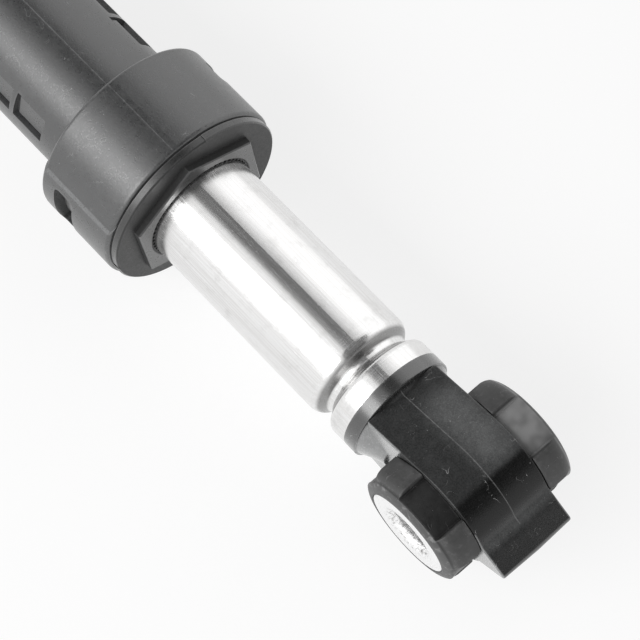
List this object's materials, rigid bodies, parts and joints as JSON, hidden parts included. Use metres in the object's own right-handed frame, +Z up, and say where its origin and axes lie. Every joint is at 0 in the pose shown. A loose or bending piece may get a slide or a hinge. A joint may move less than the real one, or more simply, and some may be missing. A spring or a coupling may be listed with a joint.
{
  "type": "washing machine shock absorber",
  "caption": "Friction strut for a washing machine tub: a steel rod slides in a plastic housing with a collar and hexagon cap, rubber bushed pin eye at each end.",
  "frame": {"origin": "centre of the pin bore in the housing's eye", "axes": "+X along the strut to the rod's eye, +Y along both pin bores, +Z up as it lies on its side"},
  "size_m": [0.2775, 0.044, 0.0432],
  "materials": {
    "housing_plastic": "satin, dark grey",
    "nut_plastic": "satin, near black",
    "eye_plastic": "satin, near black",
    "bearing_plastic": "smooth, off white",
    "wiper_rubber": "smooth, black",
    "bush_rubber": "matte, dark grey",
    "lining_foam": "greased foam, brown",
    "rod_steel": "drawn and zinc plated",
    "sleeve_steel": "zinc plated"
  },
  "bodies": {
    "housing_body": {"housing": "housing_plastic", "gland_nut": "nut_plastic", "wiper_ring": "wiper_rubber", "rear_bearing": "bearing_plastic", "rear_lining": "lining_foam", "lining_separator": "bearing_plastic", "front_lining": "lining_foam", "lining_washer": "bearing_plastic", "bump_stop": "bush_rubber", "housing_bush": "bush_rubber"},
    "rod_body": {"rod_tube": "rod_steel", "rod_guide": "bearing_plastic", "rod_eye": "eye_plastic", "rod_bush": "bush_rubber"},
    "rod_sleeve_body": {"rod_sleeve": "sleeve_steel"},
    "housing_sleeve_body": {"housing_sleeve": "sleeve_steel"}
  },
  "joints": [
    {"name": "rod_slide", "type": "slide", "parent": "housing_body", "child": "rod_body", "axis": [1, 0, 0], "range_m": [-0.044, 0.044]},
    {"name": "rod_sleeve_twist", "type": "hinge", "parent": "rod_body", "child": "rod_sleeve_body", "pos_m": [0.244, 0, 0], "axis": [0, 1, 0], "range_deg": [-15, 15], "stiffness_Nm_per_rad": 2},
    {"name": "housing_sleeve_twist", "type": "hinge", "parent": "housing_body", "child": "housing_sleeve_body", "pos_m": [0, 0, 0], "axis": [0, 1, 0], "range_deg": [-15, 15], "stiffness_Nm_per_rad": 2}
  ]
}
